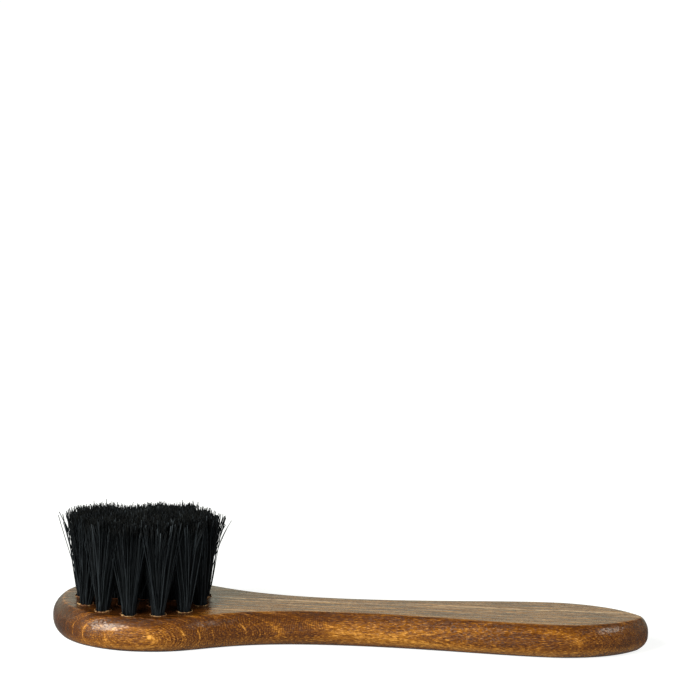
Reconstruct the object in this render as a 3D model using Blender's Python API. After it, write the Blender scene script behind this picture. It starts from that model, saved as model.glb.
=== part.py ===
"""Shoe polish applicator brush: a beech handle with a round head of staple-set horsehair tufts.

The brush lies on the flat back of its handle with the bristles up.
+X runs along the handle from the head to the tip and +Z points along the bristles.
The origin is on the resting back face, under the middle of the head.
All lengths are in metres.
"""

from math import cos, floor, pi, radians, sin, tan

import bmesh
import bpy
from mathutils import Matrix, Vector

# Handle, in plan
LENGTH = 0.175
HEAD_WIDTH = 0.0474
HEAD_END_TO_HEAD_CENTRE = 0.0264
NECK_WIDTH = 0.0201
HEAD_END_TO_NECK = 0.0872
GRIP_WIDTH = 0.0285
HEAD_END_TO_GRIP = 0.1472
TIP_RADIUS = 0.0048
TIP_ARC = radians(39.5)

# Shares of each stretch that its curve keeps the direction of the stretch's two ends
HEAD_END_EASE = (0.697, 0.432)
HEAD_TO_NECK_EASE = (0.365, 0.666)
NECK_TO_GRIP_EASE = (0.404, 0.294)
GRIP_TO_TIP_EASE = (0.113, 0.520)

# Handle, in section
THICKNESS = 0.0102
BRISTLE_FACE_INSET_AT_HEAD = 0.0028
BRISTLE_FACE_INSET_AT_TIP = 0.0021
BACK_FACE_INSET_AT_HEAD = 0.0024
BACK_FACE_INSET_AT_TIP = 0.0034
SIDE_BULGE_POWER = 2.5

# Holes for the tufts
HOLE_DIAMETER = 0.0045
WOOD_UNDER_HOLE = 0.0032
RING_TO_HEAD_SIDE = 0.0059
TUFT_PITCH = 0.0085

# Anchors: short pieces of flat wire that hold each folded tuft down in its hole
ANCHOR_THICKNESS = 0.0005
ANCHOR_HEIGHT = 0.0016
ANCHOR_BITE = 0.0006
HAIR_UNDER_ANCHOR = 0.0014
ANCHOR_TURN = radians(45)

# Bristles
BRISTLE_LENGTH = 0.0250
TRIM_SLOPE = radians(4.5)
STRANDS_ACROSS_TUFT = 4
STRAND_GAP = 0.00022
STRAND_TAPER_RATIO = 0.85
TUFT_SPREAD_RATIO = 2.25
SPREAD_POWER = 1.25
OUTER_STRAND_STEPS = 2
INNER_STRAND_STEPS = 1

# Room left between pieces that touch
CLEARANCE = 0.0003

# How finely round shapes are cut into flats
STEPS_PER_STRETCH = 9
STEPS_ROUND_TIP = 4
SIDE_STEPS = 8
HOLE_SIDES = 4 * STRANDS_ACROSS_TUFT

# Sizes that follow from the ones above
HEAD_END_X = -HEAD_END_TO_HEAD_CENTRE
TIP_X = LENGTH - HEAD_END_TO_HEAD_CENTRE
HOLE_RADIUS = HOLE_DIAMETER / 2
KNOT_RADIUS = HOLE_RADIUS - CLEARANCE
OUTER_RING_RADIUS = min(HEAD_WIDTH / 2, HEAD_END_TO_HEAD_CENTRE) - RING_TO_HEAD_SIDE
INNER_RING_RADIUS = OUTER_RING_RADIUS / 2
ANCHOR_LENGTH = HOLE_DIAMETER + 2 * ANCHOR_BITE
ANCHOR_Z = WOOD_UNDER_HOLE + HAIR_UNDER_ANCHOR + ANCHOR_HEIGHT / 2


def material(name, colour, roughness, metallic=0.0):
    """Return a Principled material; colour is linear RGB."""
    made = bpy.data.materials.new(name)
    made.use_nodes = True
    shader = made.node_tree.nodes["Principled BSDF"]
    shader.inputs["Base Color"].default_value = (*colour, 1.0)
    shader.inputs["Roughness"].default_value = roughness
    shader.inputs["Metallic"].default_value = metallic
    return made


def add_object(name, bm, collection, finish=None):
    """Turn a bmesh into an object of the collection."""
    bmesh.ops.recalc_face_normals(bm, faces=bm.faces)
    mesh = bpy.data.meshes.new(name)
    bm.to_mesh(mesh)
    bm.free()
    if finish:
        mesh.materials.append(finish)
    made = bpy.data.objects.new(name, mesh)
    collection.objects.link(made)
    return made


def cut(target, cutter):
    """Take the cutter's shape out of the target."""
    modifier = target.modifiers.new(cutter.name, "BOOLEAN")
    modifier.operation = "DIFFERENCE"
    modifier.object = cutter
    modifier.solver = "EXACT"


def bezier(start, start_aim, end_aim, end, steps):
    """Points of a cubic curve from start, without its last point, and the direction at each."""
    points = []
    for step in range(steps):
        t = step / steps
        u = 1 - t
        place = u**3 * start + 3 * u * u * t * start_aim + 3 * u * t * t * end_aim + t**3 * end
        aim = u * u * (start_aim - start) + 2 * u * t * (end_aim - start_aim)
        aim += t * t * (end - end_aim)
        points.append((place, aim.normalized()))
    return points


def half_outline():
    """Points of the +Y half of the handle's plan, from head end to tip, with their directions."""
    head_end = Vector((HEAD_END_X, 0))
    head = Vector((0, HEAD_WIDTH / 2))
    neck = Vector((HEAD_END_X + HEAD_END_TO_NECK, NECK_WIDTH / 2))
    grip = Vector((HEAD_END_X + HEAD_END_TO_GRIP, GRIP_WIDTH / 2))
    tip_centre = Vector((TIP_X - TIP_RADIUS, 0))
    tip_start = tip_centre + TIP_RADIUS * Vector((cos(TIP_ARC), sin(TIP_ARC)))
    back_from_tip = Vector((-sin(TIP_ARC), cos(TIP_ARC)))
    ahead = Vector((1, 0))
    sideways = Vector((0, 1))

    points = bezier(head_end, head_end + HEAD_END_EASE[0] * head.y * sideways,
                    head - HEAD_END_EASE[1] * (head.x - head_end.x) * ahead, head,
                    STEPS_PER_STRETCH)
    for start, end, ease in ((head, neck, HEAD_TO_NECK_EASE), (neck, grip, NECK_TO_GRIP_EASE)):
        run = end.x - start.x
        points += bezier(start, start + ease[0] * run * ahead, end - ease[1] * run * ahead, end,
                         STEPS_PER_STRETCH)
    run = tip_start.x - grip.x
    points += bezier(grip, grip + GRIP_TO_TIP_EASE[0] * run * ahead,
                     tip_start + GRIP_TO_TIP_EASE[1] * run * back_from_tip, tip_start,
                     STEPS_PER_STRETCH)
    for step in range(STEPS_ROUND_TIP + 1):
        angle = TIP_ARC * (1 - step / STEPS_ROUND_TIP)
        place = tip_centre + TIP_RADIUS * Vector((cos(angle), sin(angle)))
        points.append((place, Vector((sin(angle), -cos(angle)))))
    return points


def side_inset(x, z):
    """How far the side lies inside the plan outline at a height: most at both faces."""
    share = (x - HEAD_END_X) / LENGTH
    towards_back = z < THICKNESS / 2
    if towards_back:
        at_head, at_tip = BACK_FACE_INSET_AT_HEAD, BACK_FACE_INSET_AT_TIP
    else:
        at_head, at_tip = BRISTLE_FACE_INSET_AT_HEAD, BRISTLE_FACE_INSET_AT_TIP
    at_face = at_head + (at_tip - at_head) * share
    return at_face * abs(2 * z / THICKNESS - 1) ** SIDE_BULGE_POWER


def plan_ring(bm, outline, z):
    """Add the closed ring of vertices that the handle's outline has at a height."""
    upper = []
    for place, aim in outline:
        inward = Vector((aim.y, -aim.x))
        moved = place + side_inset(place.x, z) * inward
        upper.append((moved.x, max(moved.y, 0.0)))
    lower = [(x, -y) for x, y in reversed(upper[1:-1])]
    return [bm.verts.new((x, y, z)) for x, y in upper + lower]


def handle(collection, finish):
    """The wooden handle: its plan outline lofted through the bulging section of its side."""
    bm = bmesh.new()
    outline = half_outline()
    rings = []
    for step in range(SIDE_STEPS + 1):
        # Closer together at the two faces, where the side curves most
        z = THICKNESS * (1 - cos(pi * step / SIDE_STEPS)) / 2
        rings.append(plan_ring(bm, outline, z))
    for below, above in zip(rings, rings[1:]):
        for index in range(len(below)):
            after = (index + 1) % len(below)
            bm.faces.new((below[index], below[after], above[after], above[index]))
    bm.faces.new(rings[0])
    bm.faces.new(rings[-1])
    made = add_object("handle", bm, collection, finish)
    made.data.shade_smooth()
    made.data.set_sharp_from_angle(angle=radians(30))
    return made


def ring_count(radius):
    """How many tufts a ring holds at the tufts' pitch."""
    return max(1, floor(2 * pi * radius / TUFT_PITCH))


def tuft_places():
    """Centres of the tufts: the outer ring, the inner ring and the middle, with their steps."""
    places = []
    for radius, steps in ((OUTER_RING_RADIUS, OUTER_STRAND_STEPS),
                          (INNER_RING_RADIUS, INNER_STRAND_STEPS)):
        count = ring_count(radius)
        for index in range(count):
            angle = pi - 2 * pi * index / count
            places.append((Vector((radius * cos(angle), radius * sin(angle), 0)), steps))
    places.append((Vector((0, 0, 0)), INNER_STRAND_STEPS))
    return places


def box(bm, centre, size, turn):
    """Add a box turned about the vertical."""
    made = bmesh.ops.create_cube(bm, size=1.0)["verts"]
    bmesh.ops.scale(bm, vec=size, verts=made)
    bmesh.ops.rotate(bm, cent=(0, 0, 0), matrix=Matrix.Rotation(turn, 3, "Z"), verts=made)
    bmesh.ops.translate(bm, vec=centre, verts=made)


def hole_cutter(places, collection):
    """Blind round holes for the tufts, open at the bristle face."""
    bm = bmesh.new()
    top = THICKNESS + CLEARANCE
    depth = top - WOOD_UNDER_HOLE
    for place, _ in places:
        made = bmesh.ops.create_cone(bm, cap_ends=True, segments=HOLE_SIDES, radius1=HOLE_RADIUS,
                                     radius2=HOLE_RADIUS, depth=depth)["verts"]
        bmesh.ops.translate(bm, vec=place + Vector((0, 0, top - depth / 2)), verts=made)
    return add_object("hole_cutter", bm, collection)


def anchor_slot_cutter(places, collection):
    """The room round each anchor, through its tuft's knot and into the wood at both ends."""
    bm = bmesh.new()
    size = Vector((ANCHOR_LENGTH, ANCHOR_THICKNESS, ANCHOR_HEIGHT)) + Vector([2 * CLEARANCE] * 3)
    for place, _ in places:
        box(bm, place + Vector((0, 0, ANCHOR_Z)), size, ANCHOR_TURN)
    return add_object("anchor_slot_cutter", bm, collection)


def anchor(name, place, collection, finish):
    """A short piece of flat wire lying on edge across its hole."""
    bm = bmesh.new()
    box(bm, place + Vector((0, 0, ANCHOR_Z)),
        Vector((ANCHOR_LENGTH, ANCHOR_THICKNESS, ANCHOR_HEIGHT)), ANCHOR_TURN)
    return add_object(name, bm, collection, finish)


def square_to_disc(x, y):
    """Map a point of the square from -1 to 1 onto the unit disc, square rings onto circles."""
    if x == 0 and y == 0:
        return Vector((0, 0))
    if abs(x) >= abs(y):
        radius, angle = x, pi / 4 * y / x
    else:
        radius, angle = y, pi / 2 - pi / 4 * x / y
    return radius * Vector((cos(angle), sin(angle)))


def trim_height(y):
    """Height of the trimmed ends of the bristles, which slope down away from the -Y side."""
    return THICKNESS + BRISTLE_LENGTH - y * tan(TRIM_SLOPE)


def spread_at(share):
    """How far apart the strands of a tuft stand at a share of their length."""
    return 1 + (TUFT_SPREAD_RATIO - 1) * share ** SPREAD_POWER


def thickness_at(share):
    """How thick a strand is, against its foot, at a share of its length."""
    return 1 - (1 - STRAND_TAPER_RATIO) * share


def draw_strands(bm, cells, place, steps):
    """Draw each cell of a knot's top up into a strand that leans out from the tuft's middle."""
    for step in range(1, steps + 1):
        before, share = (step - 1) / steps, step / steps
        spread = spread_at(share) / spread_at(before)
        taper = thickness_at(share) / thickness_at(before)
        cells = bmesh.ops.extrude_discrete_faces(bm, faces=cells)["faces"]
        for face in cells:
            centre = face.calc_center_median()
            tip_y = place.y + centre.y * spread_at(1) / spread_at(before)
            moved = Vector((centre.x * spread, centre.y * spread, 0))
            moved.z = share * (trim_height(tip_y) - THICKNESS)
            for vertex in face.verts:
                from_centre = Vector((vertex.co.x - centre.x, vertex.co.y - centre.y, 0))
                vertex.co = moved + taper * from_centre


def tuft(name, place, steps, collection, finish):
    """One tuft: strands that spread from a round knot, which fills its hole to the floor."""
    bm = bmesh.new()
    bmesh.ops.create_grid(bm, x_segments=STRANDS_ACROSS_TUFT, y_segments=STRANDS_ACROSS_TUFT,
                          size=1.0)
    for vertex in bm.verts:
        vertex.co.xy = KNOT_RADIUS * square_to_disc(vertex.co.x, vertex.co.y)
    rim = [edge for edge in bm.edges if edge.is_boundary]
    cells = list(bm.faces)

    depth = THICKNESS - WOOD_UNDER_HOLE - CLEARANCE
    sides = bmesh.ops.extrude_edge_only(bm, edges=rim)["geom"]
    foot = [item for item in sides if isinstance(item, bmesh.types.BMVert)]
    bmesh.ops.translate(bm, vec=(0, 0, -depth), verts=foot)
    bmesh.ops.edgeloop_fill(bm, edges=[edge for edge in bm.edges if edge.is_boundary])

    bmesh.ops.inset_individual(bm, faces=cells, thickness=STRAND_GAP / 2, use_even_offset=True)
    draw_strands(bm, cells, place, steps)
    bmesh.ops.translate(bm, vec=place + Vector((0, 0, THICKNESS)), verts=bm.verts)
    return add_object(name, bm, collection, finish)


def build():
    """Make every piece of the brush."""
    for existing in list(bpy.data.objects):
        bpy.data.objects.remove(existing)
    brush = bpy.data.collections.new("Shoe polish applicator brush")
    cutters = bpy.data.collections.new("Cutters")
    for collection in (brush, cutters):
        bpy.context.scene.collection.children.link(collection)

    beech = material("Stained beech", (0.150, 0.062, 0.020), 0.38)
    hair = material("Black horsehair", (0.010, 0.011, 0.013), 0.55)
    wire = material("Tinned steel flat wire", (0.56, 0.55, 0.52), 0.35, 1.0)

    places = tuft_places()
    holes = hole_cutter(places, cutters)
    slots = anchor_slot_cutter(places, cutters)
    wood = handle(brush, beech)
    cut(wood, holes)
    cut(wood, slots)
    for number, (place, steps) in enumerate(places, start=1):
        made = tuft(f"tuft_{number:02d}", place, steps, brush, hair)
        cut(made, slots)
        anchor(f"anchor_{number:02d}", place, brush, wire)
    for cutter in (holes, slots):
        cutter.hide_render = True
        cutter.display_type = "WIRE"


build()
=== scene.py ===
"""Shoe polish applicator brush: stained and lacquered beech handle, black horsehair tufts.

Run as a script in Blender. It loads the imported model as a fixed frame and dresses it:
the handle with soft edges, drilled holes and wood figure, the tufts hair by hair, the wire
anchors, and a pale studio. Lengths are in metres, +X runs from the head to the tip of the
handle and +Z along the bristles.
"""

from math import cos, pi, radians, sin, tan

import bmesh
import bpy
import numpy as np
from mathutils import Euler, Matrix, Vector


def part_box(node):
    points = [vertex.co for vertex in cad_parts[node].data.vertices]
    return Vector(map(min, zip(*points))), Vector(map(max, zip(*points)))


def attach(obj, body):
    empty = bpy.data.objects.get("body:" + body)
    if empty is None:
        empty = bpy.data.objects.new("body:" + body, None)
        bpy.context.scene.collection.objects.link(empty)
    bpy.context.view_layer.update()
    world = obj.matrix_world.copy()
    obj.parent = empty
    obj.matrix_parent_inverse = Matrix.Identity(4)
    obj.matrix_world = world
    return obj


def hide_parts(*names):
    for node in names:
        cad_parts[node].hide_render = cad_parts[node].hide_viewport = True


bl_info = {
    "name": "Shoe Polish Applicator Brush",
    "version": (1, 0, 0),
    "blender": (4, 5, 0),
    "location": "View3D > Sidebar > Brush",
    "description": "Dresses the applicator brush: beech handle, horsehair tufts, anchors, studio",
    "category": "Object",
}

MM = 0.001

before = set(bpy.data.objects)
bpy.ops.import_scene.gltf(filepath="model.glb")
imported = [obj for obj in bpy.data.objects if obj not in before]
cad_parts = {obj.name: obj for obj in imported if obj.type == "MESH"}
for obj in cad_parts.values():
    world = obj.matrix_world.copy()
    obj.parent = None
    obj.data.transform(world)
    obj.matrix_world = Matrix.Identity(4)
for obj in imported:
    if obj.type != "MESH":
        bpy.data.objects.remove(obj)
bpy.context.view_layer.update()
HANDLE_LOW, HANDLE_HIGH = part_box("handle")
TUFTS = sorted(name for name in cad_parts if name.startswith("tuft_"))
ANCHORS = sorted(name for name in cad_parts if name.startswith("anchor_"))


def linear(hex_colour):
    """Turn an sRGB hex colour such as #8A5A26 into linear RGB."""
    shares = (int(hex_colour[at:at + 2], 16) / 255 for at in (1, 3, 5))
    return tuple(s / 12.92 if s <= 0.04045 else ((s + 0.055) / 1.055) ** 2.4 for s in shares)


def length(name, description, default):
    """A size of the brush, in metres."""
    return bpy.props.FloatProperty(name=name, description=description, default=default,
                                   min=0.0, precision=5, unit="LENGTH")


def colour(name, description, default):
    """A colour, written as sRGB hex."""
    return bpy.props.FloatVectorProperty(name=name, description=description, subtype="COLOR",
                                         size=3, min=0.0, max=1.0, default=linear(default))


class BRUSH_PG_handle(bpy.types.PropertyGroup):
    """Sizes and colours of the wooden handle."""

    neck_width: length("Neck width", "Width of the handle at its waist", 0.0201)
    neck_at: length("Neck from head end", "Where the waist is, from the head end", 0.0872)
    grip_width: length("Grip width", "Width of the grip where it is widest", 0.0285)
    grip_at: length("Grip from head end", "Where the grip is widest, from the head end", 0.1472)
    head_at: length("Head centre from head end", "Where the head is widest", 0.0264)
    tip_radius: length("Tip radius", "Radius of the rounded tip", 0.0048)
    edge: length("Edge rounding", "How far the sanded edges of the two faces are rounded", 0.0005)
    hole_diameter: length("Hole diameter", "Diameter of the holes for the tufts", 0.0045)
    hole_floor: length("Wood under hole", "Wood left under each hole", 0.0032)
    rim: length("Torn rim", "Width of the torn wood that the drill lifts round a hole", 0.00044)
    deep: colour("Stain in pores", "Stain where it lies deepest, in pores and flecks", "#351C09")
    dark: colour("Dark growth wood", "Stained wood in the darker part of a growth layer", "#552C08")
    warm: colour("Warm growth wood", "Stained wood in the lighter part of a layer", "#8C5513")
    light: colour("Layer line", "Thin pale line that ends each growth layer", "#DA9A40")
    bare: colour("Bare beech", "Unstained beech in the rims of the holes", "#98774D")


class BRUSH_PG_tufts(bpy.types.PropertyGroup):
    """Sizes and colours of the horsehair."""

    bristle_length: length("Bristle length", "Free length of the middle bristles", 0.0250)
    slope: bpy.props.FloatProperty(
        name="Trim slope", description="Fall of the trimmed ends away from the -Y side",
        subtype="ANGLE", default=radians(6))
    hair: length("Hair thickness", "Thickness of one horsehair", 0.00020)
    hairs: bpy.props.IntProperty(name="Hairs in a tuft", description="Folded hairs in each tuft",
                                 default=280, min=10)
    bundle: length("Bundle radius", "Radius of the bundle of hair in its hole", 0.00165)
    spread: length("Tip spread", "Radius of a tuft at its tips", 0.0060)
    overhang: length("Outer overhang", "How far the tips of the outer tufts reach past their "
                     "holes' centres, away from the middle of the head", 0.0035)
    stray: length("Stray reach", "How far stray hairs stand out past the others", 0.0030)
    black: colour("Black hair", "Dyed black horsehair", "#1A1D20")
    grey: colour("Sheen hair", "The few hairs that took less dye", "#272C31")


class BRUSH_PG_stage(bpy.types.PropertyGroup):
    """The camera and the studio round the brush."""

    camera_place: bpy.props.FloatVectorProperty(
        name="Camera place", description="Where the camera stands", subtype="TRANSLATION",
        unit="LENGTH", default=(0.0989, -0.8878, 0.2689))
    camera_angles: bpy.props.FloatVectorProperty(
        name="Azimuth, elevation, roll", description="Angles that the camera looks at the brush",
        subtype="EULER", default=(radians(2.57), radians(11.58), radians(1.5)))
    lens: bpy.props.FloatProperty(name="Lens", description="Focal length in millimetres",
                                  default=161.5, unit="CAMERA")
    floor_width: length("Floor width", "Width of the square floor", 6.0)
    lamp_power: bpy.props.FloatProperty(
        name="Side lamp power", description="Power of the left lamp; the right has 0.15 of it",
        default=13.6, unit="POWER")
    paper: colour("Paper", "White seamless paper under the brush", "#A8ABAA")


def set_sockets(tree, node, values):
    """Set a node's sockets to numbers, vectors, outputs, or nodes, which give their first one."""
    for socket, value in values.items():
        if isinstance(value, bpy.types.Node):
            value = value.outputs[0]
        if isinstance(value, bpy.types.NodeSocket):
            tree.links.new(value, node.inputs[socket])
        else:
            node.inputs[socket].default_value = value


def add_node(tree, kind, *values, inputs=None, stops=(), **settings):
    """Add a shader node with its settings and links.

    kind is its type, with its operation where it has one, as in "Math ADD". values go to its
    sockets in order and inputs to sockets by name. stops are a ramp's rising (place, colour).
    """
    kind, *operation = kind.split()
    node = tree.nodes.new("ShaderNode" + kind)
    if operation:
        node.operation = operation[0]
    for name, value in settings.items():
        setattr(node, name, value)
    set_sockets(tree, node, dict(enumerate(values)))
    set_sockets(tree, node, inputs or {})
    if stops:
        points = node.color_ramp.elements
        points.remove(points[1])
        points[0].position = stops[0][0]
        for place, _ in stops[1:]:
            points.new(place)
        for point, (_, tint) in zip(points, stops):
            point.color = (*tint, 1.0)
    return node


def new_material(name):
    """An empty material, its tree and its Principled shader."""
    made = bpy.data.materials.new(name)
    made.use_nodes = True
    tree = made.node_tree
    return made, tree, tree.nodes["Principled BSDF"]


# Settings of a MapRange node that eases in and out
SMOOTH = {"interpolation_type": "SMOOTHSTEP"}

# Growth layers: where each ends across the board, from the -Y side, in mm, how pale its line
# is, and how wide, in mm; and the width of the whole board in mm
LAYER_LINES = ((-22.4, 0.5, 0.15), (-19.8, 0.7, 0.25), (-17.6, 0.6, 0.2), (-15.6, 0.5, 0.2),
               (-11.5, 0.7, 0.15), (-8.9, 0.65, 0.2), (-6.4, 0.3, 0.4), (4.2, 0.70, 1.0),
               (13.0, 0.7, 0.4), (18.6, 0.8, 0.35))
BOARD = 50

# On the -Y side the layers run out of the board at this slant, between these places in mm
LAYER_SLANT = 0.05
SLANTED = (-10, 4)

# The layers wander and waver by noise that is this much on average, in mm
NOISE_MEAN = 0.75

# Widths in mm of the fine ribs and the broad bands inside the layers, and of cutter ripples
RIB = 0.18
BAND = 1.8
RIPPLE = 0.68

# Noise patterns of the wood: size of their clumps along X, Y and Z in mm, detail and offset
PATTERNS = {
    "wander": ((40, 30, 30), 1.0, 0.0),
    "waver": ((5, 3, 3), 2.0, 3.1),
    "broken_line": ((5, 1.5, 2), 1.0, 7.7),
    "clear_ribs": ((13, 9, 7), 1.0, 61.9),
    "ripple_drift": ((9, 30, 3.5), 1.0, 5.3),
    "ripple_patch": ((14, 30, 2.4), 1.0, 91.7),
    "dark_fleck": ((1.2, 0.20, 0.20), 2.0, 11.3),
    "light_fleck": ((1.3, 0.22, 0.22), 2.0, 23.9),
    "fibre": ((2.4, 0.24, 0.24), 3.0, 67.1),
    "streak": ((16, 1.3, 1.1), 2.0, 31.7),
    "long_streak": ((20, 1.2, 9), 3.0, 71.9),
    "blotch": ((14, 5, 4), 1.0, 41.1),
    "relief": ((3.0, 0.9, 0.9), 2.0, 53.3),
    "furrow": ((9, 2.2, 9), 2.0, 83.9),
}

# Where features start, are whole, start to fade and are gone: along X or up Z, in mm
RIPPLED_NECK = (6, 14, 52, 60)
DARKER_WAIST = (6, 18, 52, 66)
SIDE_MIDDLE = (2.6, 4.6, 6.8, 8.2)

# How level a surface is where the face turns into side, and where it is wholly side
SIDE_STARTS = 0.85
SIDE_WHOLE = 0.55

# Height in mm at which the side is widest, and the place in mm of its one fleck of ray wood
SIDE_WIDEST = 5.2
RAY_FLECK = (4.4, -23.5, 5.2)

# How much each feature lightens the stain, and the value of it that changes nothing
PLAIN_TONE = 0.475
TONE_WEIGHTS = {
    "rib": (0.40, 0.0),
    "band": (0.20, 0.0),
    "ripple": (0.08, 0.0),
    "dark_fleck": (-0.22, 0.3),
    "light_fleck": (0.26, 0.0),
    "fibre": (0.45, 0.0),
    "streak": (0.24, 0.5),
    "long_streak": (1.15, 0.0),
    "blotch": (0.24, 0.5),
    "middle": (0.03, 0.0),
    "end_grain_and_shade": (-0.44, 0.0),
    # edge is painted shade along the top and the bottom of the side
    "edge": (-0.13, 0.0),
    "shade_round_holes": (-0.34, 0.0),
    "shaded": (-0.46, 0.0),
    "waist": (-0.12, 0.0),
    "ray_fleck": (0.40, 0.0),
    # low is painted light from the floor on the lower side
    "low": (0.16, 0.0),
    "grip": (-0.10, 0.0),
}


def clumps(tree, at, name):
    """One of the wood's noise patterns."""
    size, detail, offset = PATTERNS[name]
    scale = tuple(1 / (each * MM) for each in size)
    place = add_node(tree, "Mapping", at["place"],
                     inputs={"Scale": scale, "Location": (offset, offset, offset)})
    return add_node(tree, "TexNoise", place,
                    inputs={"Scale": 1.0, "Detail": detail, "Roughness": 0.55})


def within(tree, place, stretch):
    """How much a place is inside a stretch of four places in mm, whose two ends are soft."""
    start, whole, fading, end = (each * MM for each in stretch)
    rising = add_node(tree, "MapRange", place, start, whole, **SMOOTH)
    falling = add_node(tree, "MapRange", place, end, fading, **SMOOTH)
    return add_node(tree, "Math MULTIPLY", rising, falling)


def from_middle(tree, place):
    """Distance in plan from the middle of the head."""
    level = add_node(tree, "VectorMath MULTIPLY", place, (1.0, 1.0, 0.0))
    return add_node(tree, "VectorMath LENGTH", level).outputs["Value"]


def wood_places(tree):
    """What the features of the wood depend on: place, direction, and side or flat face."""
    coordinates = add_node(tree, "TexCoord").outputs
    x, y, z = add_node(tree, "SeparateXYZ", coordinates["Object"]).outputs
    facing = add_node(tree, "SeparateXYZ", coordinates["Normal"]).outputs
    level = add_node(tree, "Math ABSOLUTE", facing["Z"])
    side = add_node(tree, "MapRange", level, SIDE_STARTS, SIDE_WHOLE, **SMOOTH)
    flat = add_node(tree, "Math SUBTRACT", 1.0, side)
    calm = add_node(tree, "Math MULTIPLY_ADD", flat, -0.35, 1.0)
    return {"place": coordinates["Object"], "x": x, "y": y, "z": z, "forward": facing["X"],
            "level": level, "side": side, "flat": flat, "calm": calm,
            "far": from_middle(tree, coordinates["Object"])}


def place_across(tree, at):
    """Place across the growth layers in mm; they wander a little along the grain."""
    start, end = (each * MM for each in SLANTED)
    slant = add_node(tree, "MapRange", at["y"], start, end, LAYER_SLANT / MM, 0.0, **SMOOTH)
    across = add_node(tree, "Math MULTIPLY", at["x"], slant)
    across = add_node(tree, "Math MULTIPLY_ADD", at["y"], 1 / MM, across)
    across = add_node(tree, "Math MULTIPLY_ADD", at["z"], 0.1 / MM, across)
    across = add_node(tree, "Math ADD", clumps(tree, at, "wander"), across)
    across = add_node(tree, "Math ADD", across, -NOISE_MEAN)
    return add_node(tree, "Math MULTIPLY_ADD", clumps(tree, at, "waver"), 0.5, across)


def layer_line(tree, at, across):
    """The thin pale lines that end the layers, clearest half way up the side."""
    stops = [(0.0, (0.0, 0.0, 0.0))]
    for place, strength, width in LAYER_LINES:
        stops += [((place + BOARD / 2 + shift * width) / BOARD, (tone * strength,) * 3)
                  for shift, tone in ((-0.7, 0.0), (0.0, 1.0), (1.0, 0.0))]
    share = add_node(tree, "Math MULTIPLY_ADD", across, 1 / BOARD, 0.5)
    line = add_node(tree, "ValToRGB", share, stops=stops)
    broken = clumps(tree, at, "broken_line")
    broken = add_node(tree, "MapRange", broken, 0.25, 0.6, 0.25, 1.0, **SMOOTH)
    line = add_node(tree, "Math MULTIPLY", line, broken)
    above = add_node(tree, "Math SUBTRACT", at["z"], SIDE_WIDEST * MM)
    above = add_node(tree, "Math ABSOLUTE", above)
    faded = add_node(tree, "MapRange", above, 1.2 * MM, 2.8 * MM, 0.0, 0.75, **SMOOTH)
    faded = add_node(tree, "Math MULTIPLY", at["side"], faded)
    return add_node(tree, "Math MULTIPLY", line, add_node(tree, "Math SUBTRACT", 1.0, faded))


def layer_figure(tree, at, across):
    """Ribs and bands inside the layers, and the faint ripples that the cutter left."""
    figure = {}
    for name, width in (("rib", RIB), ("band", BAND)):
        place = add_node(tree, "Math MULTIPLY", across, 1 / width)
        shade = add_node(tree, "TexNoise", noise_dimensions="1D",
                         inputs={"W": place, "Scale": 1.0, "Detail": 1.0})
        figure[name] = add_node(tree, "Math SUBTRACT", shade, 0.5)
    clear = clumps(tree, at, "clear_ribs")
    clear = add_node(tree, "MapRange", clear, 0.38, 0.62, 0.35, 1.15, **SMOOTH)
    clear = add_node(tree, "Math MULTIPLY", clear, at["calm"])
    figure["rib"] = add_node(tree, "Math MULTIPLY", figure["rib"], clear)
    figure["band"] = add_node(tree, "Math MULTIPLY", figure["band"], at["calm"])

    drift = add_node(tree, "Math MULTIPLY", clumps(tree, at, "ripple_drift"), 22.0)
    wave = add_node(tree, "Math MULTIPLY_ADD", at["x"], 2 * pi / (RIPPLE * MM), drift)
    wave = add_node(tree, "Math SINE", wave)
    patch = add_node(tree, "MapRange", clumps(tree, at, "ripple_patch"), 0.42, 0.60, **SMOOTH)
    wave = add_node(tree, "Math MULTIPLY", wave, patch)
    neck = add_node(tree, "Math MULTIPLY", at["side"], within(tree, at["x"], RIPPLED_NECK))
    figure["ripple"] = add_node(tree, "Math MULTIPLY", wave, neck)
    return figure


def grain_figure(tree, at):
    """Flecks and pores about 1 mm long and a fifth of a millimetre thick, fibres and streaks."""
    dark = clumps(tree, at, "dark_fleck")
    dark = add_node(tree, "MapRange", dark, 0.40, 0.50, 1.0, 0.0, **SMOOTH)
    light = add_node(tree, "MapRange", clumps(tree, at, "light_fleck"), 0.54, 0.64, **SMOOTH)
    light = add_node(tree, "Math SUBTRACT", light, 0.15)
    fibre = add_node(tree, "Math SUBTRACT", clumps(tree, at, "fibre"), 0.5)
    streak = add_node(tree, "Math SUBTRACT", clumps(tree, at, "long_streak"), 0.5)
    return {"dark_fleck": dark,
            "light_fleck": add_node(tree, "Math MULTIPLY", light, at["calm"]),
            "fibre": add_node(tree, "Math MULTIPLY", fibre, at["calm"]),
            "streak": clumps(tree, at, "streak"),
            "long_streak": add_node(tree, "Math MULTIPLY", streak, at["flat"]),
            "blotch": clumps(tree, at, "blotch")}


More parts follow.
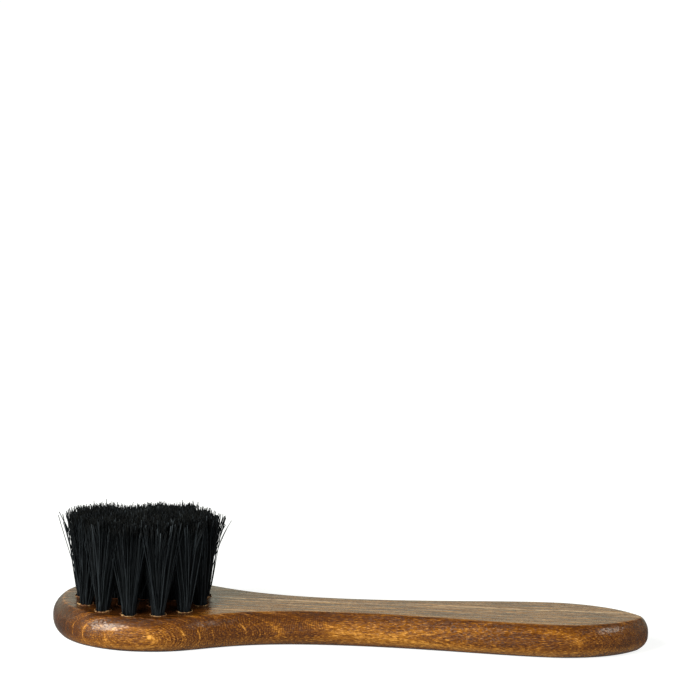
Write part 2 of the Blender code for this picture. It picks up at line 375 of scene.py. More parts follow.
def stain_figure(tree, at):
    """Tone over the handle: painted shade and light on the side, the ends and round the holes, a
    darker waist and grip, and one fleck of ray wood.
    """
    side = at["side"]
    figure = {"middle": add_node(tree, "Math MULTIPLY", within(tree, at["z"], SIDE_MIDDLE), side)}
    beyond_neck = add_node(tree, "MapRange", at["x"], 62 * MM, 80 * MM, **SMOOTH)
    figure["grip"] = add_node(tree, "Math MULTIPLY", figure["middle"], beyond_neck)
    # Painted light: the low part of the side is lighter, as if lit from the white floor
    low = add_node(tree, "MapRange", at["z"], 4.0 * MM, 2.0 * MM, **SMOOTH)
    figure["low"] = add_node(tree, "Math MULTIPLY", side, low)
    waist = within(tree, at["x"], DARKER_WAIST)
    figure["waist"] = add_node(tree, "Math MULTIPLY", waist, side)

    # End grain at the head end and, less, at the tip: darker stain, and painted shade
    head_end = add_node(tree, "MapRange", at["forward"], -0.20, -0.90, **SMOOTH)
    tip = add_node(tree, "MapRange", at["forward"], 0.20, 0.90, 0.0, 0.32, **SMOOTH)
    figure["end_grain_and_shade"] = add_node(tree, "Math ADD", head_end, tip)
    # Painted shade: a darker band high on the side, and a painted contact shadow along its bottom
    upper = add_node(tree, "MapRange", at["z"], 6.9 * MM, 9.2 * MM, **SMOOTH)
    lower = add_node(tree, "MapRange", at["z"], 0.9 * MM, 0.1 * MM, 0.0, 2.4, **SMOOTH)
    sloping = add_node(tree, "MapRange", at["level"], 0.98, 0.85, **SMOOTH)
    edge = add_node(tree, "Math ADD", upper, lower)
    figure["edge"] = add_node(tree, "Math MULTIPLY", edge, sloping)

    # Painted shade on the face round the holes, where the tufts overhang it, and deeper painted
    # shade between the tufts
    round_holes = add_node(tree, "MapRange", at["far"], 24 * MM, 20.5 * MM, **SMOOTH)
    figure["shade_round_holes"] = add_node(tree, "Math MULTIPLY", at["flat"], round_holes)
    figure["shaded"] = add_node(tree, "MapRange", at["far"], 18.5 * MM, 14 * MM, **SMOOTH)

    fleck = tuple(each * MM for each in RAY_FLECK)
    apart = add_node(tree, "VectorMath DISTANCE", at["place"], fleck).outputs["Value"]
    figure["ray_fleck"] = add_node(tree, "MapRange", apart, 0.9 * MM, 0.3 * MM, **SMOOTH)
    return figure


def stained_beech(sizes):
    """Beech under brown stain and satin lacquer: fine pores, thin pale layer lines, soft shine.

    The growth layers stand across the board, so they show as lines on the two faces and as
    nested rings where the rounded side cuts through them.
    """
    made, tree, shader = new_material("stained_beech_satin_lacquer")
    at = wood_places(tree)
    across = place_across(tree, at)
    line = layer_line(tree, at, across)
    figure = {**layer_figure(tree, at, across), **grain_figure(tree, at),
              **stain_figure(tree, at)}

    clearness = add_node(tree, "Math MULTIPLY_ADD", at["side"], 0.27, 0.55)
    tone = add_node(tree, "Math MULTIPLY_ADD", line, clearness, PLAIN_TONE)
    for name, (weight, plain) in TONE_WEIGHTS.items():
        tone = add_node(tree, "Math ADD", tone, -weight * plain)
        tone = add_node(tree, "Math MULTIPLY_ADD", figure[name], weight, tone)
    stain = add_node(tree, "ValToRGB", tone, stops=(
        (0.10, sizes.deep), (0.36, sizes.dark), (0.62, sizes.warm), (0.95, sizes.light)))

    # Painted sheen: the open faces away from the holes are a little yellower, and paler where the
    # tone is light
    open_face = add_node(tree, "MapRange", at["level"], 0.985, 0.999, **SMOOTH)
    off_holes = add_node(tree, "MapRange", at["far"], 20.5 * MM, 26 * MM, **SMOOTH)
    painted_sheen = add_node(tree, "Math MULTIPLY", open_face, off_holes)
    hue = add_node(tree, "Math MULTIPLY_ADD", painted_sheen, 0.008, 0.5)
    paler_in_sheen = add_node(tree, "MapRange", tone, 0.45, 0.75, **SMOOTH)
    paler_in_sheen = add_node(tree, "Math MULTIPLY", painted_sheen, paler_in_sheen)
    pale = add_node(tree, "Math MULTIPLY", line, at["flat"])
    strength = add_node(tree, "Math MULTIPLY_ADD", pale, -0.3, 1.0)
    strength = add_node(tree, "Math MULTIPLY_ADD", paler_in_sheen, -0.12, strength)
    stain = add_node(tree, "HueSaturation",
                     inputs={"Hue": hue, "Saturation": strength, "Color": stain})
    set_sockets(tree, shader, {"Base Color": stain, "Roughness": 0.6, "IOR": 1.5,
                               "Specular IOR Level": 0.0, "Coat Weight": 1.0, "Coat IOR": 1.5,
                               "Coat Roughness": 0.17})

    # The thin lacquer follows the fibres, which breaks its shine into short strokes
    relief = add_node(tree, "Math MULTIPLY", clumps(tree, at, "relief"), at["calm"])
    furrow = add_node(tree, "Math SUBTRACT", clumps(tree, at, "furrow"), 0.5)
    furrow = add_node(tree, "Math MULTIPLY", furrow, at["flat"])
    for feature, rise in ((figure["dark_fleck"], -0.12), (figure["long_streak"], 0.6),
                          (furrow, 1.4)):
        relief = add_node(tree, "Math MULTIPLY_ADD", feature, rise, relief)
    for socket, distance in (("Normal", 0.10), ("Coat Normal", 0.23)):
        bump = add_node(tree, "Bump", inputs={"Height": relief, "Strength": 0.8,
                                              "Distance": distance * MM})
        set_sockets(tree, shader, {socket: bump})
    return made


def bare_beech(sizes):
    """Raw beech torn up by the drill through the stain: dull, pale and fibrous."""
    made, tree, shader = new_material("bare_beech_torn_rim")
    place = add_node(tree, "TexCoord").outputs["Object"]
    torn = add_node(tree, "TexNoise", place, inputs={"Scale": 1 / (0.8 * MM), "Detail": 2.0})

    # Painted shade: the rims of the inner holes, among the tufts, are darker
    inner_rim_shade = add_node(tree, "MapRange", from_middle(tree, place), 14.5 * MM, 18 * MM, -0.3, 0.0)
    torn = add_node(tree, "Math ADD", torn, inner_rim_shade)
    tint = add_node(tree, "ValToRGB", torn, stops=((0.42, sizes.dark), (0.60, sizes.bare)))
    set_sockets(tree, shader, {"Base Color": tint, "Roughness": 0.75, "IOR": 1.5})
    return made


def black_horsehair(sizes):
    """Dyed horsehair: near black, each hair a little different, with painted shade over the top of
    the tufts.
    """
    made, tree, shader = new_material("black_horsehair")
    each = add_node(tree, "NewGeometry").outputs["Random Per Island"]
    black = Vector(sizes.black)
    tint = add_node(tree, "ValToRGB", each, stops=(
        (0.0, 0.2 * black), (0.5, 0.8 * black), (0.8, 1.75 * black), (0.94, 2.4 * black),
        (1.0, sizes.grey)))

    # Painted shade darkens the tops of the tufts, and painted glints lighten the ends of the odd
    # hair
    shuffled = add_node(tree, "Math FRACT", add_node(tree, "Math MULTIPLY", each, 57.0))
    glints = add_node(tree, "Math POWER", shuffled, 6.0)
    glints = add_node(tree, "Math MULTIPLY_ADD", glints, 2.4, 0.24)
    place = add_node(tree, "TexCoord").outputs["Object"]
    height = add_node(tree, "SeparateXYZ", place).outputs["Z"]
    top_shade_and_glints = add_node(tree, "MapRange", height, 32 * MM, 36 * MM, 1.0, glints)
    tint = add_node(tree, "HueSaturation", inputs={"Value": top_shade_and_glints, "Color": tint})
    set_sockets(tree, shader, {"Base Color": tint, "Roughness": 0.38, "IOR": 1.55,
                               "Specular IOR Level": 0.035})
    return made


def tinned_steel():
    """Flat steel wire with a thin tin coat: bright, drawn along its length."""
    made, tree, shader = new_material("tinned_steel_wire")
    place = add_node(tree, "TexCoord").outputs["Object"]
    place = add_node(tree, "Mapping", place, inputs={"Scale": (1 / MM, 1 / MM, 9 / MM)})
    drawn = add_node(tree, "TexNoise", place, inputs={"Scale": 1.0, "Detail": 2.0})
    tint = add_node(tree, "ValToRGB", drawn,
                    stops=((0.3, linear("#8E8C87")), (0.7, linear("#C9C7C1"))))
    set_sockets(tree, shader, {"Base Color": tint, "Metallic": 1.0, "Roughness": 0.35})
    return made


def white_paper(sizes):
    """Seamless paper: matt white that keeps the brush's shadow and stays white to the eye."""
    made, tree, shader = new_material("white_seamless_paper")
    path = add_node(tree, "LightPath").outputs
    glossy = path["Is Glossy Ray"]
    mirrored = add_node(tree, "Math MULTIPLY_ADD", glossy, -0.6, 1.0)
    dull = add_node(tree, "HueSaturation", inputs={"Value": mirrored,
                                                   "Color": (*sizes.paper, 1.0)})
    set_sockets(tree, shader, {"Base Color": dull, "Roughness": 1.0, "Specular IOR Level": 0.0})

    # The paper is nearly white by itself to the camera and whiter further from the brush
    seen = add_node(tree, "Math MAXIMUM", path["Is Camera Ray"], path["Is Transmission Ray"])
    shine = add_node(tree, "Math MULTIPLY", glossy, 0.15)
    seen = add_node(tree, "Math MAXIMUM", seen, shine)
    place = add_node(tree, "TexCoord").outputs["Object"]
    far = add_node(tree, "VectorMath LENGTH", place).outputs["Value"]
    lit = add_node(tree, "MapRange", far, 0.15, 0.6, 0.80, 0.94)
    lift = add_node(tree, "Math MULTIPLY", seen, lit)
    glow = add_node(tree, "Emission", (1.0, 1.0, 1.0, 1.0), lift)
    both = add_node(tree, "AddShader", shader, glow)
    set_sockets(tree, tree.nodes["Material Output"], {"Surface": both})
    return made


def add_mesh(name, bm):
    """The mesh of a finished bmesh, with its faces turned outwards."""
    bmesh.ops.recalc_face_normals(bm, faces=bm.faces)
    mesh = bpy.data.meshes.new(name)
    bm.to_mesh(mesh)
    bm.free()
    return mesh


def add_piece(name, mesh, finish):
    """Link a mesh as a piece of the brush that rides on its one body."""
    mesh.materials.append(finish)
    piece = bpy.data.objects.new(name, mesh)
    bpy.context.scene.collection.objects.link(piece)
    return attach(piece, "root")


def bezier(start, start_aim, end_aim, end, steps):
    """Points of a cubic curve from start, without its last point, and the direction at each."""
    points = []
    for step in range(steps):
        t = step / steps
        u = 1 - t
        place = u**3 * start + 3 * u * u * t * start_aim + 3 * u * t * t * end_aim + t**3 * end
        aim = u * u * (start_aim - start) + 2 * u * t * (end_aim - start_aim)
        aim += t * t * (end - end_aim)
        points.append((place, aim.normalized()))
    return points


# Shares of each stretch that the plan's curve keeps the direction of the stretch's two ends
HEAD_END_EASE = (0.697, 0.432)
HEAD_TO_NECK_EASE = (0.365, 0.666)
NECK_TO_GRIP_EASE = (0.404, 0.294)
GRIP_TO_TIP_EASE = (0.113, 0.520)
TIP_ARC = radians(39.5)
PLAN_STEPS = 26
TIP_STEPS = 10
SIDE_STEPS = 22

# How far the two faces lie inside the plan outline, at the head end and at the tip
BRISTLE_FACE_INSET = (0.0028, 0.0021)
BACK_FACE_INSET = (0.0024, 0.0034)
SIDE_BULGE_POWER = 2.5

# Edges where two faces of the handle meet at more than this angle stay sharp
SHARP_ANGLE = radians(28)


def half_outline(sizes):
    """Points of the +Y half of the handle's plan, from head end to tip, with their directions."""
    head_end = Vector((HANDLE_LOW.x, 0))
    head = Vector((HANDLE_LOW.x + sizes.head_at, HANDLE_HIGH.y))
    neck = Vector((HANDLE_LOW.x + sizes.neck_at, sizes.neck_width / 2))
    grip = Vector((HANDLE_LOW.x + sizes.grip_at, sizes.grip_width / 2))
    tip_centre = Vector((HANDLE_HIGH.x - sizes.tip_radius, 0))
    tip_start = tip_centre + sizes.tip_radius * Vector((cos(TIP_ARC), sin(TIP_ARC)))
    back_from_tip = Vector((-sin(TIP_ARC), cos(TIP_ARC)))
    ahead = Vector((1, 0))
    sideways = Vector((0, 1))

    points = bezier(head_end, head_end + HEAD_END_EASE[0] * head.y * sideways,
                    head - HEAD_END_EASE[1] * (head.x - head_end.x) * ahead, head, PLAN_STEPS)
    for start, end, ease in ((head, neck, HEAD_TO_NECK_EASE), (neck, grip, NECK_TO_GRIP_EASE)):
        run = end.x - start.x
        points += bezier(start, start + ease[0] * run * ahead, end - ease[1] * run * ahead, end,
                         PLAN_STEPS)
    run = tip_start.x - grip.x
    points += bezier(grip, grip + GRIP_TO_TIP_EASE[0] * run * ahead,
                     tip_start + GRIP_TO_TIP_EASE[1] * run * back_from_tip, tip_start, PLAN_STEPS)
    for step in range(TIP_STEPS + 1):
        angle = TIP_ARC * (1 - step / TIP_STEPS)
        place = tip_centre + sizes.tip_radius * Vector((cos(angle), sin(angle)))
        points.append((place, Vector((sin(angle), -cos(angle)))))
    return points


def side_section(at_back, at_front, edge):
    """(inset, height) points of the handle's side, from the back face to the bristle face."""
    thick = HANDLE_HIGH.z - HANDLE_LOW.z

    def side(z):
        at_face = at_back if z < thick / 2 else at_front
        return Vector((at_face * abs(2 * z / thick - 1) ** SIDE_BULGE_POWER, z))

    def rounded(face_inset, z_face, inwards):
        corner = Vector((face_inset, z_face))
        below = side(z_face + inwards * edge)
        beyond = corner + Vector((edge, 0))
        return [(1 - t)**2 * beyond + 2 * t * (1 - t) * corner + t * t * below
                for t in (0.0, 0.25, 0.5, 0.75, 1.0)]

    flat = Vector((edge, 0))
    back = rounded(at_back, 0.0, 1)
    front = rounded(at_front, thick, -1)[::-1]
    middle = []
    for step in range(1, SIDE_STEPS):
        share_up = (1 - cos(pi * step / SIDE_STEPS)) / 2
        middle.append(side(edge + (thick - 2 * edge) * share_up))
    return [back[0] + flat, *back, *middle, *front, front[-1] + flat]


def handle_mesh(sizes):
    """The handle without its holes: its plan lofted through the section of its side."""
    whole = HANDLE_HIGH.x - HANDLE_LOW.x
    columns = []
    for place, aim in half_outline(sizes):
        along = (place.x - HANDLE_LOW.x) / whole
        at_back, at_front = (start + (end - start) * along
                             for start, end in (BACK_FACE_INSET, BRISTLE_FACE_INSET))
        inward = Vector((aim.y, -aim.x))
        columns.append([(place + inset * inward, HANDLE_LOW.z + z)
                        for inset, z in side_section(at_back, at_front, sizes.edge)])

    bm = bmesh.new()
    rings = []
    for level in range(len(columns[0])):
        upper = [(c[level][0].x, max(c[level][0].y, 0.0), c[level][1]) for c in columns]
        lower = [(x, -y, z) for x, y, z in reversed(upper[1:-1])]
        rings.append([bm.verts.new(point) for point in upper + lower])
    for below, above in zip(rings, rings[1:]):
        for index in range(len(below)):
            after = (index + 1) % len(below)
            bm.faces.new((below[index], below[after], above[after], above[index]))
    bm.faces.new(rings[0])
    bm.faces.new(rings[-1])
    return add_mesh("handle_body", bm)


def hole_centres():
    """The axis of every tuft's hole, which its anchor lies across."""
    centres = []
    for name in ANCHORS:
        low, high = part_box(name)
        centres.append(Vector(((low.x + high.x) / 2, (low.y + high.y) / 2)))
    return centres


# Sides of the drilled holes and of the torn rims round them
HOLE_SIDES = 40
RIM_SIDES = 56
RIM_SEED = 7

# How far a torn rim starts inside its hole, and how far its edges dip under the face
RIM_INSIDE = 0.00002
RIM_INNER_DIP = 0.00015
RIM_OUTER_DIP = 0.00005


def hole_cutters(sizes):
    """Round drills for every hole."""
    radius = sizes.hole_diameter / 2
    turns = [2 * pi * k / HOLE_SIDES for k in range(HOLE_SIDES)]
    bm = bmesh.new()
    for centre in hole_centres():
        low, high = ([bm.verts.new((centre.x + radius * cos(a), centre.y + radius * sin(a), z))
                      for a in turns] for z in (sizes.hole_floor, HANDLE_HIGH.z + MM))
        for k in range(HOLE_SIDES):
            bm.faces.new((low[k], low[k - 1], high[k - 1], high[k]))
        bm.faces.new(low)
        bm.faces.new(high)
    return add_mesh("drills", bm)


def torn_rims(sizes):
    """The low uneven burr of torn wood that stands round every drilled hole."""
    radius = sizes.hole_diameter / 2
    rng = np.random.default_rng(RIM_SEED)
    bm = bmesh.new()
    for centre in hole_centres():
        uneven = rng.normal(0.0, 1.0, RIM_SIDES)
        uneven = (uneven + np.roll(uneven, 1) + np.roll(uneven, -1) + np.roll(uneven, 2)) / 2
        high = np.clip(0.55 + 0.30 * uneven, 0.08, 1.1) * sizes.rim
        wide = np.clip(0.75 + 0.25 * np.roll(uneven, 5), 0.3, 1.3) * sizes.rim
        rings = [[] for _ in range(5)]
        for k in range(RIM_SIDES):
            angle = 2 * pi * k / RIM_SIDES
            profile = ((0.0, -RIM_INNER_DIP), (-RIM_INSIDE, 0.4 * high[k]),
                       (0.25 * wide[k], high[k]), (0.65 * wide[k], 0.75 * high[k]),
                       (wide[k], -RIM_OUTER_DIP))
            for ring, (out, up) in zip(rings, profile):
                reach = radius + out
                ring.append(bm.verts.new((centre.x + reach * cos(angle),
                                          centre.y + reach * sin(angle), HANDLE_HIGH.z + up)))
        for inner, outer in zip(rings, rings[1:] + rings[:1]):
            for k in range(RIM_SIDES):
                bm.faces.new((inner[k], inner[k - 1], outer[k - 1], outer[k]))
    mesh = add_mesh("torn_hole_rims", bm)
    mesh.shade_smooth()
    return mesh


class BRUSH_OT_handle(bpy.types.Operator):
    """Make the stained beech handle with its drilled holes"""

    bl_idname = "brush.handle"
    bl_label = "Beech handle"

    def execute(self, context):
        sizes = context.scene.brush_handle
        blank = bpy.data.objects.new("blank", handle_mesh(sizes))
        drills = bpy.data.objects.new("drills", hole_cutters(sizes))
        for each in (blank, drills):
            context.scene.collection.objects.link(each)
        drilled = blank.modifiers.new("drilled", "BOOLEAN")
        drilled.operation = "DIFFERENCE"
        drilled.solver = "EXACT"
        drilled.object = drills
        seen = blank.evaluated_get(context.evaluated_depsgraph_get())
        mesh = bpy.data.meshes.new_from_object(seen)
        for each in (blank, drills):
            bpy.data.objects.remove(each)
        mesh.shade_smooth()
        mesh.set_sharp_from_angle(angle=SHARP_ANGLE)
        piece = add_piece("beech_handle", mesh, stained_beech(sizes))
        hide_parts("handle")
        rims = add_piece("torn_hole_rims", torn_rims(sizes), bare_beech(sizes))
        return {"FINISHED"}


def disc_points(count, radius, rng):
    """Evenly scattered points of a disc, a little disturbed."""
    index = np.arange(count) + 0.5
    reach = radius * np.sqrt(index / count)
    turn = index * pi * (3 - 5 ** 0.5)
    points = np.stack((reach * np.cos(turn), reach * np.sin(turn)), 1)
    return points + rng.normal(0.0, 0.06 * radius, points.shape)


def tube_mesh(name, paths, radius, sides=3):
    """A mesh of thin closed tubes along paths, an array of lines of points."""
    count, steps, _ = paths.shape
    ahead = np.gradient(paths, axis=1)
    ahead /= np.linalg.norm(ahead, axis=2, keepdims=True)
    lean = np.array((0.31, 0.95, 0.02))
    across = np.cross(ahead, lean)
    across /= np.linalg.norm(across, axis=2, keepdims=True)
    up = np.cross(ahead, across)
    turn = 2 * pi * np.arange(sides) / sides
    ring = (across[:, :, None] * np.cos(turn)[:, None] + up[:, :, None] * np.sin(turn)[:, None])
    vertices = paths[:, :, None] + radius[:, :, None, None] * ring
    index = np.arange(count * steps * sides).reshape(count, steps, sides)
    after = np.roll(index, -1, axis=2)
    quads = np.stack((index[:, :-1], after[:, :-1], after[:, 1:], index[:, 1:]), -1)
    caps = np.concatenate((index[:, 0, ::-1], index[:, -1]))
    mesh = bpy.data.meshes.new(name)
    mesh.from_pydata(vertices.reshape(-1, 3).tolist(), [],
                     quads.reshape(-1, 4).tolist() + caps.tolist())
    mesh.shade_smooth()
    return mesh


# The trimmed top's dip and swells: place along X, rise and width, in mm
TRIM_SWELLS = ((-6.5, -1.1, 5), (4, 0.4, 3), (12.5, 1.1, 3.5))

# They grow from this place across the head over this run, and are nowhere under this share
SWELLS_FROM = -0.012
SWELLS_RUN = 0.03
SWELLS_LEAST = 0.1

# Tufts whose holes are further than this from the middle of the head are the outer ones
OUTER_FROM = 0.012

# The anchors lie across their holes at this turn, with this much room for hair on each side
ANCHOR_TURN = radians(45)
ANCHOR_ROOM = 0.0005

# Points along each free leg of a hair, the locks of a tuft, and the share of hairs that stray
LEG_STEPS = 9
LOCKS = 22
STRAY_SHARE = 0.05

# How unevenly the tips lie in plan, and how unevenly the locks and the hairs end in height
TIP_SCATTER = 0.0014
LOCK_SCATTER = 0.00045
END_SCATTER = 0.00055

# Hairs bend at most this share of the way to their lock, and strays fan out this much further
LOCK_PULL = 0.5
STRAY_FAN = (1.05, 1.5)

# Hairs on the outside of each outer tuft that lean out: their least and most, and how they lie
LEANING_HAIRS = (8, 16)
LEANING_SCATTER = 0.0010
LEANING_BEND = (1.2, 2.6)

# How far hairs wave to the side, and how many waves they have
WAVE_SWING = (0.00005, 0.00035)
WAVE_TURNS = (0.6, 1.6)

# How far under its anchor the innermost hair folds, and how much lower the outermost one does
FOLD_GAP = 0.0002
FOLD_DEPTH = 0.0009

# How late a hair leans out on its way up: 1 is evenly
BEND = 1.1
OUTWARD_BEND = 0.65

# Hairs vary between these shares of their thickness, and are thinner towards the cut ends
THICKNESS_RANGE = (0.80, 1.35)
CUT_END_TAPER = 0.85

# Hairs whose ends stand further than this from the middle of the head are coarser ones
STRAY_FROM = 0.0222
STRAY_COARSE = 1.35
HAIR_SEED = 100


def trim_height(x, y, sizes):
    """Height of the trimmed ends: a slope, uneven towards the back of the head."""
    swell = sum(rise * MM * np.exp(-((x / MM - place) / width) ** 2)
                for place, rise, width in TRIM_SWELLS)
    swell = swell * np.clip((y - SWELLS_FROM) / SWELLS_RUN, SWELLS_LEAST, 1.0)
    return HANDLE_HIGH.z + sizes.bristle_length - y * tan(sizes.slope) + swell


def held_in(reach, centre, sizes):
    """Tip places round a hole, held in where the outer tufts were trimmed to a round head."""
    distance = np.linalg.norm(centre)
    if distance < OUTER_FROM:
        return reach
    outward = centre / distance
    outside = reach @ outward
    limited = np.where(outside > 0, outside * sizes.overhang / sizes.spread, outside)
    return reach + (limited - outside)[:, None] * outward


def folded_pairs(sizes, rng):
    """Places of the hairs in the hole: pairs of legs on the two sides of the anchor."""
    count = sizes.hairs
    ahead = (cos(ANCHOR_TURN), sin(ANCHOR_TURN))
    basis = np.array((ahead, (-ahead[1], ahead[0])))
    local = disc_points(2 * count, sizes.bundle, rng) @ basis.T
    order = np.argsort(local[:, 1])
    low, high = order[:count], order[count:][::-1]
    local[low, 1] = np.minimum(local[low, 1], -ANCHOR_ROOM)
    local[high, 1] = np.maximum(local[high, 1], ANCHOR_ROOM)
    feet = local @ basis
    return feet[low], feet[high], np.abs(local[low, 1])


def reach_along(reach, up, bend):
    """How far each hair has leaned at each share of its height."""
    return reach[:, None] * (up ** bend[:, None])[:, :, None]


def free_legs(centre, feet, sizes, rng):
    """Lines of the hairs from the mouth of the hole to their tips."""
    count = len(feet)
    reach = feet / sizes.bundle * sizes.spread + rng.normal(0.0, TIP_SCATTER, feet.shape)
    reach = held_in(reach, centre, sizes)

    # Hairs gather into locks, whose ends stand a little higher or lower than the next
    locks = held_in(disc_points(LOCKS, sizes.spread, rng), centre, sizes)
    nearest = np.argmin(np.linalg.norm(reach[:, None] - locks[None], axis=2), axis=1)
    reach += (locks[nearest] - reach) * rng.uniform(0.0, LOCK_PULL, count)[:, None]
    higher = rng.normal(0.0, LOCK_SCATTER, LOCKS)[nearest] + rng.normal(0.0, END_SCATTER, count)

    # A few hairs stray: most of them fan out a little further, the odd one leans right out
    stray = rng.random(count) < STRAY_SHARE
    reach[stray] *= rng.uniform(*STRAY_FAN, (stray.sum(), 1))
    bend = np.full(count, BEND)
    radial_bend = bend.copy()
    outward = centre / max(np.linalg.norm(centre), MM)
    if np.linalg.norm(centre) > OUTER_FROM:
        radial_bend[:] = OUTWARD_BEND
        facing = np.argsort(-(feet @ outward))[:rng.integers(*LEANING_HAIRS)]
        lean = sizes.stray * rng.random(len(facing)) ** 1.6
        reach[facing] = outward * (sizes.overhang + lean)[:, None]
        reach[facing] += rng.normal(0.0, LEANING_SCATTER, (len(facing), 2))
        higher[facing] -= 0.5 * lean * rng.random(len(facing))
        radial_bend[facing] = rng.uniform(*LEANING_BEND, len(facing))

    tip = centre + reach
    height = trim_height(tip[:, 0], tip[:, 1], sizes) + higher - HANDLE_HIGH.z
    up = np.linspace(0.0, 1.0, LEG_STEPS)
    start = centre + feet
    lean = tip - start
    radial = (lean @ outward)[:, None] * outward
    flat = start[:, None] + reach_along(lean - radial, up, bend)
    flat += reach_along(radial, up, radial_bend)

    # No hair is quite straight
    phase = rng.uniform(0, 2 * pi, (count, 1, 2))
    swing = rng.uniform(*WAVE_SWING, (count, 1, 2))
    turns = rng.uniform(*WAVE_TURNS, (count, 1, 2))
    wave = np.sin(2 * pi * turns * up[:, None] + phase) - np.sin(phase)
    flat += swing * wave * up[:, None]
    z = HANDLE_HIGH.z + height[:, None] * up
    return np.concatenate((flat, z[:, :, None]), 2)


def tuft_paths(centre, sizes, rng):
    """Lines of the folded hairs of one tuft: down one side of the anchor, up the other."""
    low, high, room = folded_pairs(sizes, rng)
    anchor_low, anchor_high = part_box(ANCHORS[0])
    deep = anchor_low.z - FOLD_GAP
    lowest = deep - FOLD_DEPTH * room / sizes.bundle

    def level(places, heights):
        heights = np.broadcast_to(heights, len(places))
        return np.column_stack((centre + places, heights))[:, None]

    middle = (low + high) / 2
    bend = 0.3 * deep + 0.7 * lowest
    fold = [level(low, anchor_high.z), level(low, deep), level(0.6 * low + 0.4 * middle, bend),
            level(middle, lowest), level(0.6 * high + 0.4 * middle, bend), level(high, deep),
            level(high, anchor_high.z)]
    down = free_legs(centre, low, sizes, rng)[:, ::-1]
    return np.concatenate([down, *fold, free_legs(centre, high, sizes, rng)], 1)


class BRUSH_OT_tufts(bpy.types.Operator):
    """Make the horsehair tufts, hair by hair"""

    bl_idname = "brush.tufts"
    bl_label = "Horsehair tufts"

    def execute(self, context):
        sizes = context.scene.brush_tufts
        hair = black_horsehair(sizes)
        for number, (name, centre) in enumerate(zip(TUFTS, hole_centres())):
            rng = np.random.default_rng(HAIR_SEED + number)
            paths = tuft_paths(np.array(centre[:]), sizes, rng)
            thick = rng.uniform(*THICKNESS_RANGE, (len(paths), 1)) * sizes.hair / 2
            ends = np.linalg.norm(paths[:, (0, -1), :2], axis=2).max(1)
            thick[ends > STRAY_FROM] *= STRAY_COARSE
            taper = np.linspace(CUT_END_TAPER, 1.0, LEG_STEPS)
            held = np.ones(paths.shape[1] - 2 * LEG_STEPS)
            radius = thick * np.concatenate((taper, held, taper[::-1]))
            piece = add_piece("hair_" + name, tube_mesh("hair_" + name, paths, radius), hair)
            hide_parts(name)
        return {"FINISHED"}


class BRUSH_OT_anchors(bpy.types.Operator):
    """Give the wire anchors their metal"""

    bl_idname = "brush.anchors"
    bl_label = "Wire anchors"

    def execute(self, context):
        wire = tinned_steel()
        for name in ANCHORS:
            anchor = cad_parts[name]
            anchor.data.materials.clear()
            anchor.data.materials.append(wire)
        return {"FINISHED"}


# The lamps: direction from the brush, width and height, and share of the lamp power
LAMPS = {
    "left_lamp": ((-0.66, -0.75, 0.48), (0.46, 0.71), 1.0),
    "right_lamp": ((0.90, -0.50, 0.75), (0.20, 0.36), 0.15),
}
LAMP_DISTANCE = 0.9
LAMP_AIM = Vector((0.05, 0.0, 0.01))
LAMP_TINT = (1.0, 1.0, 0.89)

# The floor lies this far under the brush, so that the two don't touch
FLOOR_GAP = 0.00005


def add_camera(scene, sizes):
    """The camera at the photograph's viewing angle."""
    azimuth, elevation, roll = sizes.camera_angles
    back = Vector((sin(azimuth) * cos(elevation), -cos(azimuth) * cos(elevation),
                   sin(elevation)))
    made = bpy.data.objects.new("camera", bpy.data.cameras.new("camera"))
    made.data.lens = sizes.lens
    made.data.sensor_width = 36.0
    made.data.clip_end = 50.0
    made.rotation_mode = "QUATERNION"
    rolled = Euler((0, 0, roll)).to_quaternion()
    made.rotation_quaternion = (-back).to_track_quat("-Z", "Y") @ rolled
    made.location = sizes.camera_place
    scene.collection.objects.link(made)
    scene.camera = made


def add_world(scene):
    """Even white surroundings, dimmer overhead, that read as pure white behind the brush."""
    scene.world = bpy.data.worlds.new("studio")
    scene.world.use_nodes = True
    tree = scene.world.node_tree
    toward = add_node(tree, "SeparateXYZ", add_node(tree, "TexCoord").outputs["Generated"]).outputs
    path = add_node(tree, "LightPath").outputs
    glossy = path["Is Glossy Ray"]

    # What lights the brush: even white from low down, which isn't mirrored in its shine
    light = add_node(tree, "MapRange", toward["Z"], 0.40, 0.65, 0.80, 0.05)
    matt = add_node(tree, "Math MULTIPLY_ADD", glossy, -1.0, 1.0)
    light = add_node(tree, "Math MULTIPLY", light, matt)

    # What shows: white low down, and in the brush's shine mostly the white behind the brush
    behind = add_node(tree, "MapRange", toward["Y"], -0.3, 0.2, 0.02, 0.78)
    shine = add_node(tree, "Math MULTIPLY", glossy, behind)
    seen = add_node(tree, "Math MAXIMUM", path["Is Camera Ray"], path["Is Transmission Ray"])
    seen = add_node(tree, "Math MAXIMUM", seen, shine)
    white = add_node(tree, "MapRange", toward["Z"], 0.40, 0.80, 1.0, 0.18)
    seen = add_node(tree, "Math MULTIPLY", seen, white)

    strength = add_node(tree, "Math MAXIMUM", light, seen)
    tint = add_node(tree, "ValToRGB", glossy, stops=((0.0, (1.0, 1.0, 1.0)),
                                                     (1.0, (1.0, 0.99, 0.79))))
    set_sockets(tree, tree.nodes["Background"], {"Strength": strength, "Color": tint})


def add_softbox(scene, name, power):
    """One of the lamps, turned to the brush."""
    direction, size, share = LAMPS[name]
    lamp = bpy.data.lights.new(name, "AREA")
    lamp.energy = power * share
    lamp.color = LAMP_TINT
    lamp.shape = "RECTANGLE"
    lamp.size, lamp.size_y = size
    made = bpy.data.objects.new(name, lamp)
    made.location = LAMP_AIM + Vector(direction).normalized() * LAMP_DISTANCE
    made.rotation_mode = "QUATERNION"
    made.rotation_quaternion = (LAMP_AIM - made.location).to_track_quat("-Z", "Y")
    scene.collection.objects.link(made)


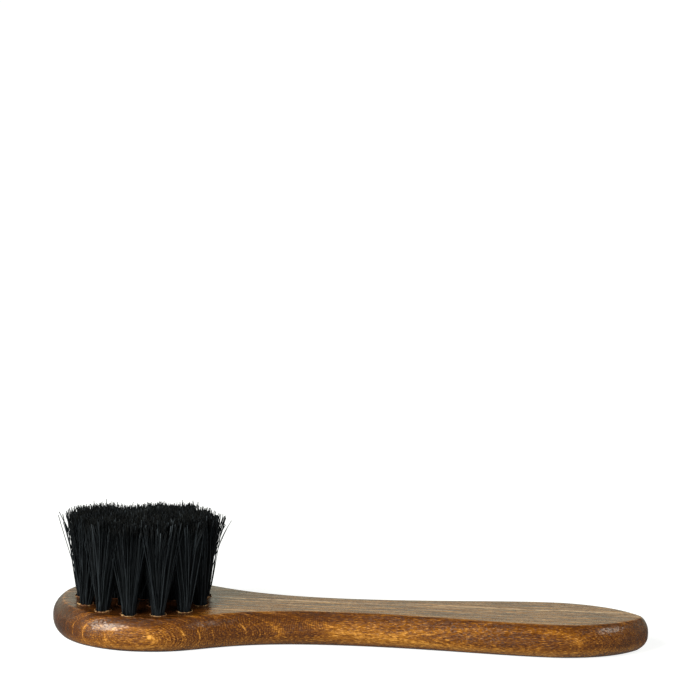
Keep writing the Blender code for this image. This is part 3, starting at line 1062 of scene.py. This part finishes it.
class BRUSH_OT_stage(bpy.types.Operator):
    """Set the white floor, the soft light and the camera"""

    bl_idname = "brush.stage"
    bl_label = "Studio"

    def execute(self, context):
        scene = context.scene
        sizes = scene.brush_stage
        half = sizes.floor_width / 2
        mesh = bpy.data.meshes.new("floor")
        mesh.from_pydata([(-half, -half, 0), (half, -half, 0), (half, half, 0),
                          (-half, half, 0)], [], [(0, 1, 2, 3)])
        mesh.materials.append(white_paper(sizes))
        floor = bpy.data.objects.new("floor", mesh)
        floor.location.z = HANDLE_LOW.z - FLOOR_GAP
        scene.collection.objects.link(floor)
        for name in LAMPS:
            add_softbox(scene, name, sizes.lamp_power)
        add_world(scene)
        add_camera(scene, sizes)
        scene.view_settings.view_transform = "Standard"
        return {"FINISHED"}


class BRUSH_PT_panel(bpy.types.Panel):
    """The brush's pieces in the 3D view's sidebar"""

    bl_idname = "BRUSH_PT_panel"
    bl_label = "Applicator Brush"
    bl_space_type = "VIEW_3D"
    bl_region_type = "UI"
    bl_category = "Brush"

    def draw(self, context):
        for operator in OPERATORS:
            self.layout.operator(operator.bl_idname)
        for group in SETTINGS:
            box = self.layout.box()
            box.label(text=group.replace("_", " ").capitalize())
            for name in SETTINGS[group].__annotations__:
                box.prop(getattr(context.scene, group), name)


SETTINGS = {
    "brush_handle": BRUSH_PG_handle,
    "brush_tufts": BRUSH_PG_tufts,
    "brush_stage": BRUSH_PG_stage,
}
OPERATORS = (BRUSH_OT_handle, BRUSH_OT_tufts, BRUSH_OT_anchors, BRUSH_OT_stage)
CLASSES = (*SETTINGS.values(), *OPERATORS, BRUSH_PT_panel)


def register():
    """Register the classes and put the settings on the scene."""
    for each in CLASSES:
        bpy.utils.register_class(each)
    for name, group in SETTINGS.items():
        setattr(bpy.types.Scene, name, bpy.props.PointerProperty(type=group))


def unregister():
    """Take the settings and the classes away again."""
    for name in SETTINGS:
        delattr(bpy.types.Scene, name)
    for each in reversed(CLASSES):
        bpy.utils.unregister_class(each)


def main():
    """Make every piece."""
    register()
    bpy.ops.brush.handle()
    bpy.ops.brush.tufts()
    bpy.ops.brush.anchors()
    bpy.ops.brush.stage()


if __name__ == "__main__":
    main()
